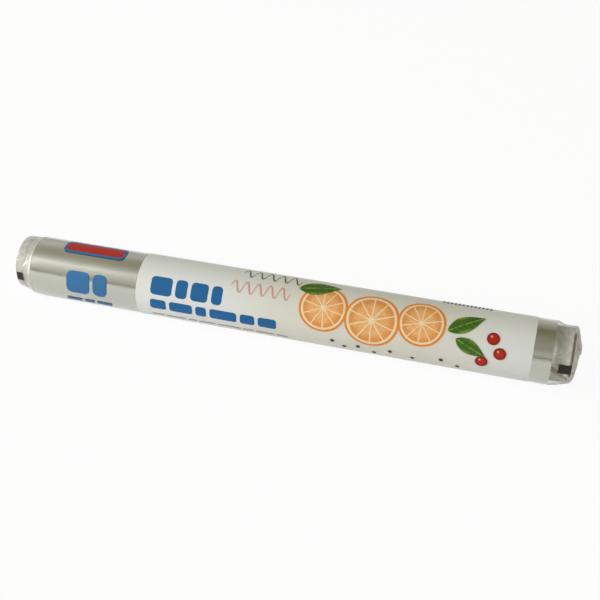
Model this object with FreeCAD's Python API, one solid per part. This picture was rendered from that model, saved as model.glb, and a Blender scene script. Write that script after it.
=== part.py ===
import FreeCAD
import Part

import math
import os

from FreeCAD import Vector

# A retail roll of aluminium foil lying on its side: a paperboard core, the foil wound on it,
# and a clear shrink film over both, printed with a white panel and simple fields of colour.
# Millimetres. X runs along the roll, Z is up, and the origin is under the middle of the roll
# on the surface that it lies on. Angles round the roll start at the front and grow to the top.

# Core and foil
core_bore_radius = 12.9
core_wall = 1.2
foil_width = 282.0
foil_build = 2.13
winding_fit = 0.02
core_overhang = 9.0
turn_steps = 5
turn_step_depth = 0.12

# Clear film round both, with its lap seam flattened under the roll
film_wall = 0.2
film_fit = 0.05
film_tip_reach = 4.0
seam_half_width = 3.2
seam_slack = 0.25

# Gathered film ends
pleat_count = 16
collar_pleat = 0.14
gather_pleat = 0.45
gather_radius = 3.2
gather_dimple = 1.4
shoulder_length = 4.4
shoulder_rings = 3
gather_rings = 4

# White panel and the inks, which lie in layers, each clear of the one below
ink_thickness = 0.06
ink_fit = 0.02
print_fit = 0.06
bare_left = 63.0
bare_right = 9.5
panel_seam_margin_deg = 2.0

# Two marks on the film's collars, for the machine that cuts the film
mark_margin = 0.15
mark_height = 5.0
mark_angle_deg = 7.0
mark_corner = 0.3

# Badge and blocks on the bare film, placed by their share of the bare width
badge_share = 0.46
badge_angle_deg = 92.0
badge_width = 36.0
badge_height = 10.5
badge_corner = 3.0
badge_rim = 1.6
block_share = 0.46
block_angle_deg = 16.0
block_widths = [13.4, 8.0]
block_height = 13.0
block_gap = 2.1
block_corner = 3.2
small_bar_widths = [9.0, 6.0, 9.0]
small_bar_angle_deg = -28.0
small_bar_height = 2.4
small_bar_gap = 1.4
small_bar_corner = 0.7

# Rows of plain bars on the panel, each from the same left margin
row_margin = 8.3
heading_widths = [12.0, 6.5, 9.5, 5.8]
heading_angle_deg = 37.0
heading_height = 10.0
heading_gap = 2.1
heading_corner = 2.2
line_widths = [9.0, 13.0, 6.0, 15.0, 8.0, 10.0]
line_angle_deg = 0.0
line_height = 6.0
line_gap = 1.9
line_corner = 1.5
fine_widths = [7.0, 11.0, 5.0, 9.0, 13.0, 6.0, 10.0, 6.0]
fine_angle_deg = -28.5
fine_height = 1.3
fine_gap = 1.3
fine_corner = 0.4

# Two waving lines on the panel, each ending at a gap from the row of citrus slices
wave_length = 32.0
wave_height = 6.4
wave_line = 1.1
wave_crest_count = 5
pink_gap = 5.8
pink_angle_deg = 61.0
green_gap = 1.6
green_angle_deg = 97.0

# A row of citrus slices, rind against rind, with its middle at a share of the panel's width
rind = 1.2
slice_radii = [12.8, 14.2, 12.2]
slice_angles_deg = [48.0, 40.0, 50.0]
slices_share = 0.61
slice_point_count = 48

# Leaves: share of the panel's width, angle, length, width, tilt
leaf_side_point_count = 12
leaves = [
    (0.470, 86.0, 22.0, 9.0, 12.0),
    (0.838, 62.0, 20.0, 8.5, 30.0),
    (0.855, 22.0, 17.0, 7.5, -24.0),
]

# Berries and peppercorns: share of the panel's width, angle
berry_radius = 3.1
berry_point_count = 24
berries = [(0.905, 44.0), (0.925, 20.0), (0.885, 0.0)]
pepper_radius = 1.1
pepper_point_count = 12
pepper = [
    (0.520, -13.0),
    (0.550, -25.0),
    (0.585, -18.0),
    (0.625, -29.0),
    (0.665, -16.0),
    (0.720, -24.0),
    (0.790, -14.0),
    (0.830, -26.0),
]

# A block of even bars on the panel's top
bar_count = 13
bar_width = 1.0
bar_pitch = 2.0
bar_height = 9.0
bar_share = 0.83
bar_angle_deg = 124.0
bar_corner = 0.2

core_radius = core_bore_radius + core_wall
core_length = foil_width + 2 * core_overhang
foil_bore_radius = core_radius + winding_fit
foil_radius = foil_bore_radius + foil_build
film_bore_radius = foil_radius + film_fit
film_radius = film_bore_radius + film_wall
axis_height = film_radius + seam_slack
collar_radius = core_radius + film_fit + film_wall + collar_pleat
sleeve_half = foil_width / 2 + film_fit + film_wall
collar_start = sleeve_half + shoulder_length
rim_x = core_length / 2 + film_fit + film_wall
tip_x = core_length / 2 + film_tip_reach
panel_left = bare_left - foil_width / 2
panel_width = foil_width - bare_left - bare_right
ink_pitch = ink_thickness + ink_fit


def tube(inner, outer, length, start):
    """A tube along X round the roll's axis, from x = start."""
    base = Vector(start, 0, axis_height)
    along = Vector(1, 0, 0)
    body = Part.makeCylinder(outer, length, base, along)
    hole = Part.makeCylinder(inner, length, base, along)
    return body.cut(hole)


def make_core():
    """The spiral-wound paperboard core, longer than the foil by an overhang at each end."""
    return tube(core_bore_radius, core_radius, core_length, -core_length / 2)


def make_foil():
    """The wound foil as one solid, its turns slightly telescoped at both ends."""
    ring_build = foil_build / turn_steps
    rings = []
    for step in range(turn_steps):
        inner = foil_bore_radius + step * ring_build
        drawn_in = turn_step_depth * (step % 2)
        length = foil_width - 2 * drawn_in
        rings.append(tube(inner, inner + ring_build, length, -length / 2))
    return rings[0].fuse(rings[1:]).removeSplitter()


def ring_points(x, radius, ripple_out, ripple_along):
    """A closed ring of points round the axis, every second one pushed out and along."""
    points = []
    for index in range(2 * pleat_count):
        sign = 1 if index % 2 else -1
        angle = math.pi * index / pleat_count
        reach = radius + sign * ripple_out
        across = reach * math.cos(angle)
        up = axis_height + reach * math.sin(angle)
        points.append(Vector(x + sign * ripple_along, across, up))
    return points


def triangle(first, second, third):
    return Part.Face(Part.makePolygon([first, second, third, first]))


def skin(rings, tip):
    """A closed solid through rings of points, flat at the first ring and closed at the tip."""
    faces = [Part.Face(Part.makePolygon(rings[0] + rings[0][:1]))]
    count = len(rings[0])
    for index in range(count):
        after = (index + 1) % count
        for lower, upper in zip(rings, rings[1:]):
            faces.append(triangle(lower[index], lower[after], upper[after]))
            faces.append(triangle(lower[index], upper[after], upper[index]))
        faces.append(triangle(rings[-1][index], rings[-1][after], tip))
    return Part.makeSolid(Part.makeShell(faces))


def film_end(inset):
    """One gathered end of the film as a full solid. The inset gives its inner skin."""
    rings = []
    # The shoulder eases from the foil's radius down to the core's
    for step in range(shoulder_rings):
        share = step / shoulder_rings
        ease = (1 + math.cos(math.pi * share)) / 2
        radius = collar_radius + (film_radius - collar_radius) * ease
        ripple = collar_pleat * share
        rings.append(ring_points(sleeve_half + shoulder_length * share, radius - inset, ripple, 0))
    rings.append(ring_points(collar_start, collar_radius - inset, collar_pleat, 0))
    # Past the rim the film turns in on a quarter ellipse, with pleats that stand along the roll
    rise = tip_x - gather_pleat - rim_x
    for step in range(gather_rings + 1):
        turn = math.pi / 2 * step / gather_rings
        radius = gather_radius + (collar_radius - gather_radius) * math.cos(turn)
        x = rim_x + rise * math.sin(turn)
        ripple = gather_pleat * math.sin(turn)
        rings.append(ring_points(x - inset, radius - inset, collar_pleat, ripple))
    centre = Vector(tip_x - gather_pleat - gather_dimple - inset, 0, axis_height)
    return skin(rings, centre)


def mirrored(shape):
    """The same shape at the roll's other end."""
    return shape.mirror(Vector(0, 0, 0), Vector(1, 0, 0))


def seam_turn():
    """How far round from the bottom the seam's slack runs before the film is round, in radians."""
    reach = math.hypot(seam_half_width, axis_height)
    return math.atan2(seam_half_width, axis_height) + math.acos(film_radius / reach)


def seam_foot():
    """The lap seam and its slack under the roll, flat below and tangent to the round film."""
    start = -foil_width / 2
    side = film_radius * math.sin(seam_turn())
    top = axis_height - film_radius * math.cos(seam_turn())
    corners = [
        Vector(start, -seam_half_width, 0),
        Vector(start, seam_half_width, 0),
        Vector(start, side, top),
        Vector(start, -side, top),
    ]
    section = Part.Face(Part.makePolygon(corners + corners[:1]))
    return section.extrude(Vector(foil_width, 0, 0))


def make_film():
    """The clear film: a sleeve on the foil, a collar on each core end, and gathered closures."""
    base = Vector(-sleeve_half, 0, axis_height)
    along = Vector(1, 0, 0)
    outer_end = film_end(0)
    inner_end = film_end(film_wall)
    outer = Part.makeCylinder(film_radius, 2 * sleeve_half, base, along)
    outer = outer.fuse([seam_foot(), outer_end, mirrored(outer_end)])
    inner = Part.makeCylinder(film_bore_radius, 2 * sleeve_half, base, along)
    return outer.cut([inner, inner_end, mirrored(inner_end)]).removeSplitter()


def layer_radius(layer):
    """Inner radius of an ink layer. Layer 0 lies on the film, and each other one on the last."""
    return film_radius + print_fit + layer * ink_pitch


def make_panel():
    """The white printed panel: a thin band round the film, open over the seam."""
    radius = layer_radius(0)
    band = tube(radius, radius + ink_thickness, panel_width, panel_left)
    half_open = seam_turn() + math.radians(panel_seam_margin_deg)
    reach = 2 * radius
    side = reach * math.sin(half_open)
    low = axis_height - reach * math.cos(half_open)
    corners = [
        Vector(panel_left, 0, axis_height),
        Vector(panel_left, -side, low),
        Vector(panel_left, side, low),
    ]
    gap = Part.Face(Part.makePolygon(corners + corners[:1]))
    return band.cut(gap.extrude(Vector(panel_width, 0, 0)))


def patch(outline, centre_x, centre_deg, radius):
    """A thin patch wrapped on the roll. Its flat outline is in mm along and round the roll."""
    angle = math.radians(centre_deg)
    outward = Vector(0, -math.cos(angle), math.sin(angle))
    upward = Vector(0, math.sin(angle), math.cos(angle))
    middle = Vector(centre_x, 0, axis_height)
    points = []
    for along, around in outline:
        points.append(middle + Vector(along, 0, 0) + upward * (radius * math.sin(around / radius)))
    prism = Part.Face(Part.makePolygon(points + points[:1])).extrude(outward * (2 * radius))
    first = min(point.x for point in points)
    length = max(point.x for point in points) - first
    return prism.common(tube(radius, radius + ink_thickness, length, first))


def joined(patches):
    """Patches of one ink as one shape, joined where they meet."""
    if len(patches) == 1:
        return patches[0]
    return patches[0].fuse(patches[1:]).removeSplitter()


def rounded_bar(width, height, corner):
    """The outline of a bar with rounded corners."""
    corner_steps = 4
    outline = []
    for quarter in range(4):
        side_x = 1 if quarter in (0, 3) else -1
        side_y = 1 if quarter in (0, 1) else -1
        for step in range(corner_steps + 1):
            turn = math.pi / 2 * (quarter + step / corner_steps)
            x = side_x * (width / 2 - corner) + corner * math.cos(turn)
            y = side_y * (height / 2 - corner) + corner * math.sin(turn)
            outline.append((x, y))
    return outline


def disc(radius, point_count):
    """The outline of a round spot."""
    turns = [2 * math.pi * index / point_count for index in range(point_count)]
    return [(radius * math.cos(turn), radius * math.sin(turn)) for turn in turns]


def leaf(length, width, tilt_deg):
    """The outline of a leaf: two curved sides that meet in points, widest near its stalk."""
    fullness = 0.8
    tilt = math.radians(tilt_deg)
    count = leaf_side_point_count
    sides = [(index / count, 1) for index in range(count)]
    sides += [(1 - index / count, -1) for index in range(count)]
    outline = []
    for share, side in sides:
        along = length * (share - 0.5)
        across = side * width / 2 * math.sin(math.pi * share ** fullness)
        x = along * math.cos(tilt) - across * math.sin(tilt)
        y = along * math.sin(tilt) + across * math.cos(tilt)
        outline.append((x, y))
    return outline


def wave():
    """The outline of a waving line of even thickness."""
    point_count = 12 * wave_crest_count
    upper = []
    for index in range(point_count + 1):
        share = index / point_count
        swing = math.sin(2 * math.pi * wave_crest_count * share)
        upper.append((wave_length * (share - 0.5), wave_height / 2 * swing))
    lower = [(x, y - wave_line) for x, y in reversed(upper)]
    return upper + lower


def bar_row(widths, height, gap, corner, left, angle_deg, layer):
    """A row of rounded bars of the given widths, from x = left."""
    patches = []
    for width in widths:
        outline = rounded_bar(width, height, corner)
        patches.append(patch(outline, left + width / 2, angle_deg, layer_radius(layer)))
        left += width + gap
    return patches


def centred_row(widths, height, gap, corner, centre, angle_deg, layer):
    """A row of rounded bars about a centre."""
    left = centre - (sum(widths) + gap * (len(widths) - 1)) / 2
    return bar_row(widths, height, gap, corner, left, angle_deg, layer)


def bare_x(share):
    """Where a share of the bare film left of the panel lies, from the panel's edge outwards."""
    return panel_left - bare_left * share


def panel_x(share):
    """Where a share of the panel's width lies."""
    return panel_left + panel_width * share


def slices_left():
    """Where the row of citrus slices starts. The slices' rinds overlap by their own width."""
    row_length = 2 * sum(slice_radii) - rind * (len(slice_radii) - 1)
    return panel_x(slices_share) - row_length / 2


def wave_x(gap):
    """The middle of a waving line that ends at a gap from the row of citrus slices."""
    return slices_left() - gap - wave_length / 2


def make_blue():
    """Blue ink: a badge and blocks on the bare film, and two rows of bars on the panel."""
    badge = rounded_bar(badge_width, badge_height, badge_corner)
    patches = [patch(badge, bare_x(badge_share), badge_angle_deg, layer_radius(0))]
    patches += centred_row(
        block_widths, block_height, block_gap, block_corner, bare_x(block_share), block_angle_deg, 0
    )
    patches += centred_row(
        small_bar_widths,
        small_bar_height,
        small_bar_gap,
        small_bar_corner,
        bare_x(block_share),
        small_bar_angle_deg,
        0,
    )
    left = panel_left + row_margin
    patches += bar_row(
        heading_widths, heading_height, heading_gap, heading_corner, left, heading_angle_deg, 1
    )
    patches += bar_row(line_widths, line_height, line_gap, line_corner, left, line_angle_deg, 1)
    return joined(patches)


def make_red():
    """Red ink: the badge's field inside its blue rim, and round berries."""
    field = rounded_bar(
        badge_width - 2 * badge_rim, badge_height - 2 * badge_rim, badge_corner - badge_rim
    )
    patches = [patch(field, bare_x(badge_share), badge_angle_deg, layer_radius(1))]
    berry = disc(berry_radius, berry_point_count)
    for share, angle_deg in berries:
        patches.append(patch(berry, panel_x(share), angle_deg, layer_radius(4)))
    return joined(patches)


def make_green():
    """Green ink: one waving line and the leaves."""
    patches = [patch(wave(), wave_x(green_gap), green_angle_deg, layer_radius(1))]
    for share, angle_deg, length, width, tilt_deg in leaves:
        outline = leaf(length, width, tilt_deg)
        patches.append(patch(outline, panel_x(share), angle_deg, layer_radius(3)))
    return joined(patches)


def make_pink():
    """Pink ink: one waving line."""
    return patch(wave(), wave_x(pink_gap), pink_angle_deg, layer_radius(2))


def make_slices(drawn_in, layer):
    """A round for each citrus slice, drawn in from its edge."""
    left = slices_left()
    patches = []
    for radius, angle_deg in zip(slice_radii, slice_angles_deg):
        outline = disc(radius - drawn_in, slice_point_count)
        patches.append(patch(outline, left + radius, angle_deg, layer_radius(layer)))
        left += 2 * radius - rind
    return joined(patches)


def make_pepper():
    """Brown ink: peppercorns."""
    corn = disc(pepper_radius, pepper_point_count)
    return joined([patch(corn, panel_x(share), a, layer_radius(2)) for share, a in pepper])


def make_fine_line():
    """Grey ink: one row of fine bars under the blue ones."""
    left = panel_left + row_margin
    return joined(
        bar_row(fine_widths, fine_height, fine_gap, fine_corner, left, fine_angle_deg, 1)
    )


def make_bars():
    """Black ink: a block of even bars."""
    widths = [bar_width] * bar_count
    gap = bar_pitch - bar_width
    centre = panel_x(bar_share)
    return joined(centred_row(widths, bar_height, gap, bar_corner, centre, bar_angle_deg, 1))


def make_marks():
    """Two dark marks printed on the film's collars, one at each end."""
    radius = collar_radius + collar_pleat + print_fit
    length = rim_x - collar_start - 2 * mark_margin
    outline = rounded_bar(length, mark_height, mark_corner)
    centre = (rim_x + collar_start) / 2
    return joined([patch(outline, x, mark_angle_deg, radius) for x in (-centre, centre)])


def main():
    os.makedirs("parts", exist_ok=True)
    nodes = {
        "core_tube": make_core(),
        "foil_roll": make_foil(),
        "film_wrap": make_film(),
        "print_white_panel": make_panel(),
        "print_blue": make_blue(),
        "print_red": make_red(),
        "print_pink": make_pink(),
        "print_green": make_green(),
        "print_orange": make_slices(0, 1),
        "print_amber": make_slices(rind, 2),
        "print_brown": make_pepper(),
        "print_grey": make_fine_line(),
        "print_black": make_bars(),
        "cutting_marks": make_marks(),
    }
    for name, shape in nodes.items():
        shape.exportStep(os.path.join("parts", name + ".step"))
        print(name, len(shape.Solids), "solids,", round(shape.Volume, 2), "mm3", shape.isValid())


main()
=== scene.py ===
import bpy
import math
import numpy as np
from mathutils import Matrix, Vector


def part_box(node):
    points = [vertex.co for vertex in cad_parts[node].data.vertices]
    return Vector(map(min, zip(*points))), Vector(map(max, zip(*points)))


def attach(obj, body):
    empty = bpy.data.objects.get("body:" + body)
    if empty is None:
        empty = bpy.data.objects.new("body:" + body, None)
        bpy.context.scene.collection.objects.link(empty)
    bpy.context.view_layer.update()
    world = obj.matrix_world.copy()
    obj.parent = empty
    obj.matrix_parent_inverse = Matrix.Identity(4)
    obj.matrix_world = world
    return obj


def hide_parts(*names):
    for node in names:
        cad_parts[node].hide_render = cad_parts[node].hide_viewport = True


# A wrapped roll of aluminium foil lying on its side. The dictionaries below hold millimetres and
# degrees. X runs along the roll and Z is up. Angles round the roll are 0 at the front, 90 on top.
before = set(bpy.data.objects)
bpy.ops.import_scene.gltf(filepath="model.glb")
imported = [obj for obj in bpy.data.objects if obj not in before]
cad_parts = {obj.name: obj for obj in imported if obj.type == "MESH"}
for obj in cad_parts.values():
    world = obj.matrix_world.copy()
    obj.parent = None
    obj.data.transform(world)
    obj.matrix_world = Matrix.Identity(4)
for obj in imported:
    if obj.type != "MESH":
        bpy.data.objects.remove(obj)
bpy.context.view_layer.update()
mm = 0.001


# Half the size of a node's box, and its middle
def boxOf(node):
    low, high = (np.array(corner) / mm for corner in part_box(node))
    return (high - low) / 2, (high + low) / 2


foilHalf, foilMiddle = boxOf("foil_roll")
coreHalf = boxOf("core_tube")[0]
filmHalf = boxOf("film_wrap")[0]
panelHalf, panelMiddle = boxOf("print_white_panel")
axisHeight = foilMiddle[2]
foilRadius, foilEnd = foilHalf[2], foilHalf[0]
coreRadius, coreEnd = coreHalf[2], coreHalf[0]
filmRadius = filmHalf[1]
panelLeft, panelWidth = panelMiddle[0] - panelHalf[0], 2 * panelHalf[0]
bareLeft = foilEnd + panelLeft
print("frame read: film radius", round(filmRadius, 2), "foil end", round(foilEnd, 2))


# Points on the roll: x along it, radius times cos(angle) to the front, which is -Y, and radius
# times sin(angle) up from the axis
def onRoll(x, angle, radius):
    x, angle, radius = np.broadcast_arrays(x, angle, radius)
    across, up = -radius * np.cos(angle), axisHeight + radius * np.sin(angle)
    return np.stack([x, across, up], axis=-1).reshape(-1, 3) * mm


# Rises from 0 to 1 as value goes from low to high: 3 share squared less 2 share cubed
def smooth(value, low, high):
    share = np.clip((value - low) / (high - low), 0, 1)
    return share * share * (3 - 2 * share)


# How far angles lie towards a side: half of 1 plus the cosine between them, so 1 there, 0 opposite
def towards(angle, degrees):
    return (1 + np.cos(angle - math.radians(degrees))) / 2


# Four-cornered faces of a grid, from rows that run along the roll and columns that run round it
def gridFaces(rows, columns, closeRows=False, closeColumns=False):
    row = np.arange(rows if closeRows else rows - 1)
    column = np.arange(columns if closeColumns else columns - 1)
    row, column = np.meshgrid(row, column, indexing="ij")
    nextRow, nextColumn = (row + 1) % rows, (column + 1) % columns
    corners = [(row, column), (nextRow, column), (nextRow, nextColumn), (row, nextColumn)]
    return np.stack([a * columns + b for a, b in corners], axis=-1).reshape(-1, 4)


# One mesh object from a list of (points, list of face arrays, uv)
def makePiece(name, parts, node, material, sharpDeg=50):
    points, faces, uvs, start = [], [], [], 0
    for partPoints, partFaces, uv in parts:
        points.append(partPoints)
        uvs.append(uv if uv is not None else np.zeros((len(partPoints), 2)))
        for block in partFaces:
            faces += (block + start).tolist()
        start += len(partPoints)
    mesh = bpy.data.meshes.new(name)
    mesh.from_pydata(np.concatenate(points), [], faces)
    mesh.shade_smooth()
    mesh.set_sharp_from_angle(angle=math.radians(sharpDeg))
    corners = np.empty(len(mesh.loops), dtype=np.int32)
    mesh.loops.foreach_get("vertex_index", corners)
    layer = mesh.uv_layers.new(name="patch")
    layer.uv.foreach_set("vector", np.concatenate(uvs)[corners].astype(np.float32).ravel())
    mesh.materials.append(material)
    piece = bpy.data.objects.new(name, mesh)
    bpy.context.collection.objects.link(piece)
    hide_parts(node)
    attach(piece, "root")
    return piece


# Material tools. Fill gives a node's inputs values, or links them
def fill(tree, node, inputs):
    for socket, value in inputs.items():
        if isinstance(value, bpy.types.NodeSocket):
            tree.links.new(value, node.inputs[socket])
        else:
            node.inputs[socket].default_value = value


def addNode(tree, kind, inputs, **settings):
    node = tree.nodes.new("ShaderNode" + kind)
    for key, value in settings.items():
        setattr(node, key, value)
    fill(tree, node, inputs)
    return node


# Arithmetic on up to three values
def calc(tree, operation, first, second=0.0, third=0.0):
    inputs = {0: first, 1: second, 2: third}
    return addNode(tree, "Math", inputs, operation=operation).outputs[0]


def times(tree, first, second):
    return calc(tree, "MULTIPLY", first, second)


# The same rise as smooth gives, for a material's value
def ease(tree, value, low, high):
    inputs = {"Value": value, "From Min": low, "From Max": high}
    node = addNode(tree, "MapRange", inputs, interpolation_type="SMOOTHSTEP")
    return node.outputs["Result"]


# Two colours mixed: the first at factor 0, the second at factor 1
def blend(tree, factor, first, second, way="MIX"):
    settings = {"data_type": "RGBA", "blend_type": way}
    inputs = {0: factor, 6: first, 7: second}
    return addNode(tree, "Mix", inputs, **settings).outputs[2]


def colour(red, green, blue):
    return (red, green, blue, 1.0)


# A material, its tree and its main shader
def newMaterial(name):
    material = bpy.data.materials.new(name)
    material.use_nodes = True
    tree = material.node_tree
    return material, tree, tree.nodes["Principled BSDF"]


# Noise on Object coordinates, stretched by a scale per metre along X, Y and Z
def noise(tree, scale, detail=3.0, roughness=0.55):
    place = addNode(tree, "TexCoord", {}).outputs["Object"]
    grown = addNode(tree, "Mapping", {"Vector": place, "Scale": scale}).outputs[0]
    inputs = {"Vector": grown, "Scale": 1.0, "Detail": detail, "Roughness": roughness}
    return addNode(tree, "TexNoise", inputs).outputs[0]


# X, Y and Z of Object coordinates, in metres
def objectXyz(tree):
    place = addNode(tree, "TexCoord", {}).outputs["Object"]
    return addNode(tree, "SeparateXYZ", {0: place}).outputs


# A place on the piece's own UV map, how far that is from the map's middle, and its two parts
def uvParts(tree):
    place = addNode(tree, "UVMap", {}, uv_map="patch").outputs[0]
    split = addNode(tree, "SeparateXYZ", {0: place}).outputs
    length = addNode(tree, "VectorMath", {0: place}, operation="LENGTH").outputs["Value"]
    return place, length, split[0], split[1]


def mixShaders(tree, factor, first, second):
    inputs = {0: factor, 1: first.outputs[0], 2: second.outputs[0]}
    return addNode(tree, "MixShader", inputs)


def toSurface(tree, shader):
    tree.links.new(shader.outputs[0], tree.nodes["Material Output"].inputs["Surface"])


# Unevenness of the surface. A height of 1 stands for distance, in mm
def bump(tree, height, strength, distance):
    inputs = {"Height": height, "Strength": strength, "Distance": distance * mm}
    return addNode(tree, "Bump", inputs).outputs[0]


# The wound foil
foil = {
    "tint": (0.625, 0.63, 0.595),
    "roughness": 0.115,
    "roughSpread": 0.10,
    "lineScale": (2600.0, 160.0, 160.0),
    "lineDepth": 0.0030,
    "grainScale": (1350.0, 1000.0, 1000.0),
    "grainDepth": 0.095,
    "grainTint": 0.16,
    "patchScale": (60.0, 90.0, 90.0),
    "patchTint": 0.94,
    "boreFit": 0.02,
    "softEdge": 0.5,
    "softLength": 5.0,
    "softSteps": 8,
    "turnRings": 24,
    "turnDepth": 0.14,
    "wobble": 0.007,
    "alongSteps": 160,
    "aroundSteps": 240,
}


# Bright metal with rolling lines and grain, and patches that are darker by a little
def foilMaterial():
    material, tree, shader = newMaterial("rolledFoil")
    # Rolling lines run round the roll, so the noise is fine along X and long across it
    lines = noise(tree, foil["lineScale"], 3.0, 0.6)
    grain = noise(tree, foil["grainScale"], 2.0, 0.6)
    height = times(tree, lines, foil["lineDepth"])
    height = calc(tree, "MULTIPLY_ADD", grain, foil["grainDepth"], height)
    patches = noise(tree, foil["patchScale"], 2.0)
    dull = [foil["patchTint"] * v for v in foil["tint"]]
    tint = blend(tree, patches, colour(*dull), colour(*foil["tint"]))
    speckle = calc(tree, "MULTIPLY_ADD", grain, foil["grainTint"], 1 - foil["grainTint"] / 2)
    tint = blend(tree, 1.0, tint, speckle, "MULTIPLY")
    spread = foil["roughSpread"]
    rough = calc(tree, "MULTIPLY_ADD", grain, spread, foil["roughness"] - spread / 2)
    normal = bump(tree, height, 1.0, 1.0)
    fill(tree, shader, {"Base Color": tint, "Roughness": rough, "Metallic": 1.0, "Normal": normal})
    return material


# What the soft left edge gives way on its underside. It grows from softLength before the edge as
# the square of the share of that length
def softened(x, angle):
    share = np.clip((-x - foilEnd) / foil["softLength"] + 1, 0, 1)
    return foil["softEdge"] * share * share * towards(angle, -90)


# A closed profile of (x, radius) carried round the axis. Its ends are stepped, ring by ring, and
# its outside wobbles by low waves that fade towards the bore
def makeFoil():
    random = np.random.default_rng(7)
    bore = coreRadius + foil["boreFit"]
    softX = np.linspace(-foilEnd, -foilEnd + foil["softLength"], foil["softSteps"])
    outerX = np.linspace(-foilEnd, foilEnd, foil["alongSteps"])
    outerX = np.concatenate([softX, outerX[outerX > softX[-1] + 1]])
    outer = np.stack([outerX, np.full_like(outerX, foilRadius)], axis=1)
    radii = np.linspace(foilRadius, bore, foil["turnRings"] + 1)
    offsets = random.uniform(0, foil["turnDepth"], foil["turnRings"])
    offsets[0] = 0.0
    faceRadius = np.repeat(radii, 2)[1:-1]
    right = np.stack([foilEnd - np.repeat(offsets, 2), faceRadius], axis=1)[1:]
    left = right[::-1] * [-1, 1]
    profile = np.concatenate([outer, right, left])
    angle = np.linspace(0, 2 * math.pi, foil["aroundSteps"], endpoint=False)
    x, radius = profile[:, :1], profile[:, 1:]
    share = (radius - bore) / (foilRadius - bore)
    wobble = np.sin(2 * angle + 0.05 * x) + np.sin(3 * angle - 0.11 * x + 1.0)
    wobble = wobble + 0.6 * np.sin(5 * angle + 0.23 * x) + 0.5 * np.sin(0.31 * x + 2.0)
    points = onRoll(x, angle, radius + share * (foil["wobble"] * wobble - softened(x, angle)))
    faces = gridFaces(len(profile), foil["aroundSteps"], True, True)
    makePiece("foilRoll", [(points, [faces], None)], "foil_roll", foilMaterial(), 30)


makeFoil()
print("foil wound")


# The paperboard core
core = {
    "wall": 1.2,
    "edgeRound": 0.35,
    "reach": 16.0,
    "longer": {1: 0.6, -1: 0.0},
    "squeeze": {1: 0.5, -1: 1.0},
    "ply": (0.47, 0.47, 0.405),
    "plyDark": 0.82,
    "kraft": (0.25, 0.135, 0.055),
    "kraftDark": 0.6,
    "fibreScale": (900.0, 900.0, 900.0),
    "seamTurnPerMm": -3.5,
    "seamAngleAtEnd": -27.0,
    "seamWidth": 2.3,
    "frayWidth": 1.0,
    "aroundSteps": 200,
}
coreEnds = {end: coreEnd + core["longer"][end] for end in (1, -1)}


# What the core gives way below under the film's pull: nothing at the foil's edge, squeeze at its end
def squeezed(past, angle, end):
    return core["squeeze"][end] * smooth(past, 0, coreEnds[end] - foilEnd) * towards(angle, -70)


# Grey ply over brown kraft board, which shows at the cut edges, inside and along a spiral seam
def coreMaterial():
    material, tree, shader = newMaterial("woundPaperboard")
    along, back, up = objectXyz(tree)
    up = calc(tree, "SUBTRACT", up, axisHeight * mm)
    front = times(tree, back, -1.0)
    turn = calc(tree, "DIVIDE", calc(tree, "ARCTAN2", up, front), 2 * math.pi)
    # The spiral seam is where turn minus its pitch times x is whole
    pitch = core["seamTurnPerMm"] / 360 / mm
    start = core["seamAngleAtEnd"] / 360 - pitch * coreEnds[1] * mm
    spiral = calc(tree, "SUBTRACT", turn, times(tree, along, pitch))
    spiral = calc(tree, "WRAP", calc(tree, "SUBTRACT", spiral, start), 0.5, -0.5)
    away = times(tree, calc(tree, "ABSOLUTE", spiral), 2 * math.pi * coreRadius)
    ragged = times(tree, noise(tree, (700.0, 700.0, 700.0)), 0.5)
    seam = ease(tree, calc(tree, "ADD", away, ragged), core["seamWidth"], core["seamWidth"] * 0.75)
    fibres = noise(tree, core["fibreScale"], 4.0, 0.7)
    dark = [core["plyDark"] * v for v in core["ply"]]
    skin = blend(tree, fibres, colour(*core["ply"]), colour(*dark))
    dark = [core["kraftDark"] * v for v in core["kraft"]]
    kraft = blend(tree, fibres, colour(*core["kraft"]), colour(*dark))
    # The cut edge is bare at both ends, and frayed back a little at the right one
    frayed = calc(tree, "MULTIPLY_ADD", ragged, mm, along)
    frayFrom = coreEnds[1] + 0.25 - core["frayWidth"]
    frayed = ease(tree, frayed, (frayFrom - 0.15) * mm, (frayFrom + 0.15) * mm)
    cut = ease(tree, along, (0.3 - coreEnds[-1]) * mm, (0.1 - coreEnds[-1]) * mm)
    end = calc(tree, "MAXIMUM", frayed, cut)
    square = times(tree, up, up)
    away = calc(tree, "SQRT", calc(tree, "ADD", square, times(tree, front, front)))
    inside = ease(tree, away, (coreRadius - 0.3) * mm, (coreRadius - 0.5) * mm)
    bare = calc(tree, "MAXIMUM", calc(tree, "MAXIMUM", end, inside), seam)
    tint, normal = blend(tree, bare, skin, kraft), bump(tree, fibres, 0.4, 0.05)
    fill(tree, shader, {"Base Color": tint, "Roughness": 0.85, "Normal": normal})
    return material


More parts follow.
